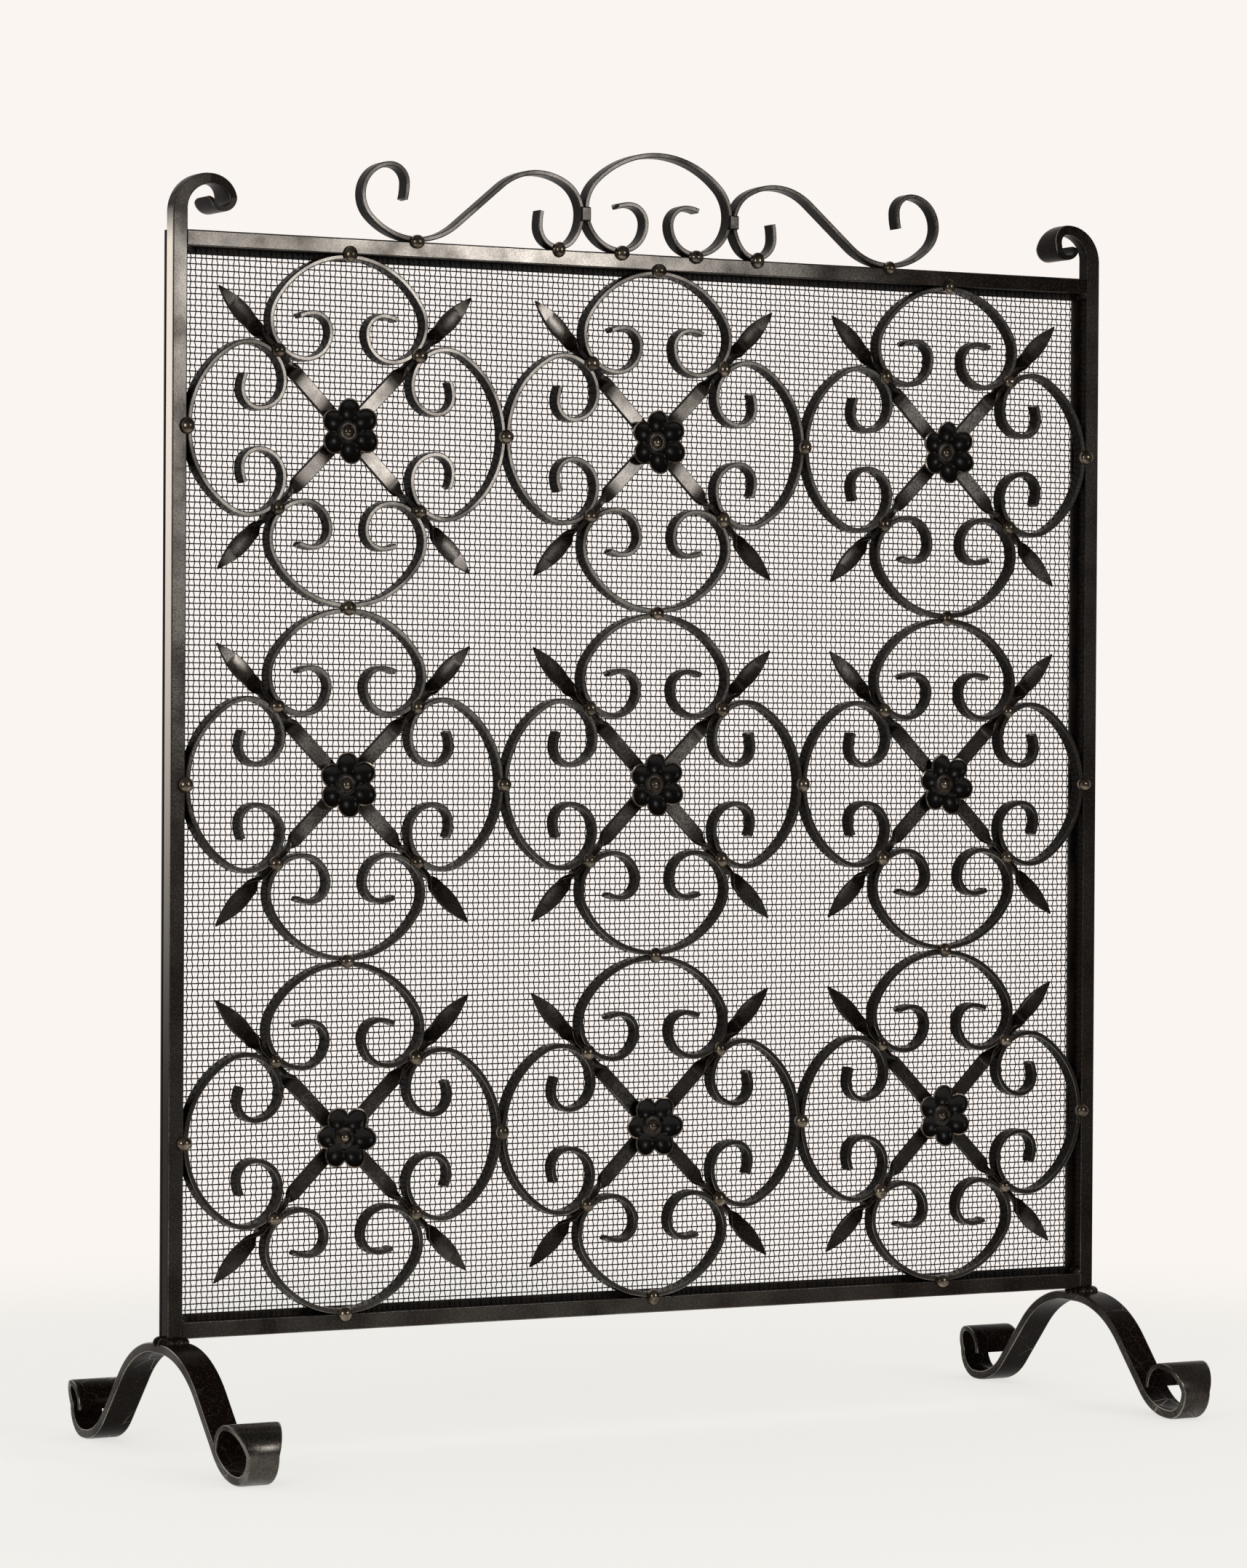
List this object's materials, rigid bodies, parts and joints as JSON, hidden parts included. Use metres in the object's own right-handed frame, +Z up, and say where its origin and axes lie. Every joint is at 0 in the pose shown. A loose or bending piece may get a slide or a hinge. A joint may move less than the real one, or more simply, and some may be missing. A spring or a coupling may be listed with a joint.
{
  "type": "fireplace screen",
  "caption": "Free-standing wrought-iron fire screen: a square frame on arched scroll feet, filled with scroll rosettes and flowers over wire mesh, topped by a scroll crest.",
  "frame": {"origin": "on the floor, midway between the two feet and under the plane of the bars", "axes": "+X to the right seen from the front, +Y to the back, +Z up; the front with the flowers faces -Y"},
  "size_m": [0.7, 0.2692, 0.813],
  "materials": {
    "frame_iron": "dark waxed wrought iron, pitted, rubbed grey on the edges",
    "scroll_iron": "dark waxed wrought iron with edges worn to bare grey metal",
    "flower_iron": "nearly black waxed iron with a worn bright hub",
    "weld_metal": "bronze-toned weld beads, slightly glossy",
    "mesh_wire": "black plain-woven steel wire",
    "mesh_strip": "black flat strip"
  },
  "bodies": {
    "root": {"post_left": "frame_iron", "post_right": "frame_iron", "rail_top": "frame_iron", "rail_bottom": "frame_iron", "foot_left": "frame_iron", "foot_right": "frame_iron", "crest_scroll_left": "scroll_iron", "crest_scroll_middle": "scroll_iron", "crest_scroll_right": "scroll_iron", "scrolls_row1_col1": "scroll_iron", "cross_bars_row1_col1": "scroll_iron", "flower_row1_col1": "flower_iron", "scrolls_row1_col2": "scroll_iron", "cross_bars_row1_col2": "scroll_iron", "flower_row1_col2": "flower_iron", "scrolls_row1_col3": "scroll_iron", "cross_bars_row1_col3": "scroll_iron", "flower_row1_col3": "flower_iron", "scrolls_row2_col1": "scroll_iron", "cross_bars_row2_col1": "scroll_iron", "flower_row2_col1": "flower_iron", "scrolls_row2_col2": "scroll_iron", "cross_bars_row2_col2": "scroll_iron", "flower_row2_col2": "flower_iron", "scrolls_row2_col3": "scroll_iron", "cross_bars_row2_col3": "scroll_iron", "flower_row2_col3": "flower_iron", "scrolls_row3_col1": "scroll_iron", "cross_bars_row3_col1": "scroll_iron", "flower_row3_col1": "flower_iron", "scrolls_row3_col2": "scroll_iron", "cross_bars_row3_col2": "scroll_iron", "flower_row3_col2": "flower_iron", "scrolls_row3_col3": "scroll_iron", "cross_bars_row3_col3": "scroll_iron", "flower_row3_col3": "flower_iron", "flower_rivets": "weld_metal", "scroll_joint_welds": "weld_metal", "panel_welds": "weld_metal", "crest_welds": "weld_metal", "crest_collars": "weld_metal", "foot_welds": "weld_metal", "corner_welds": "weld_metal", "wire_mesh": "mesh_wire", "mesh_strip_left": "mesh_strip", "mesh_strip_right": "mesh_strip", "mesh_strip_top": "mesh_strip", "mesh_strip_bottom": "mesh_strip"}
  },
  "joints": []
}
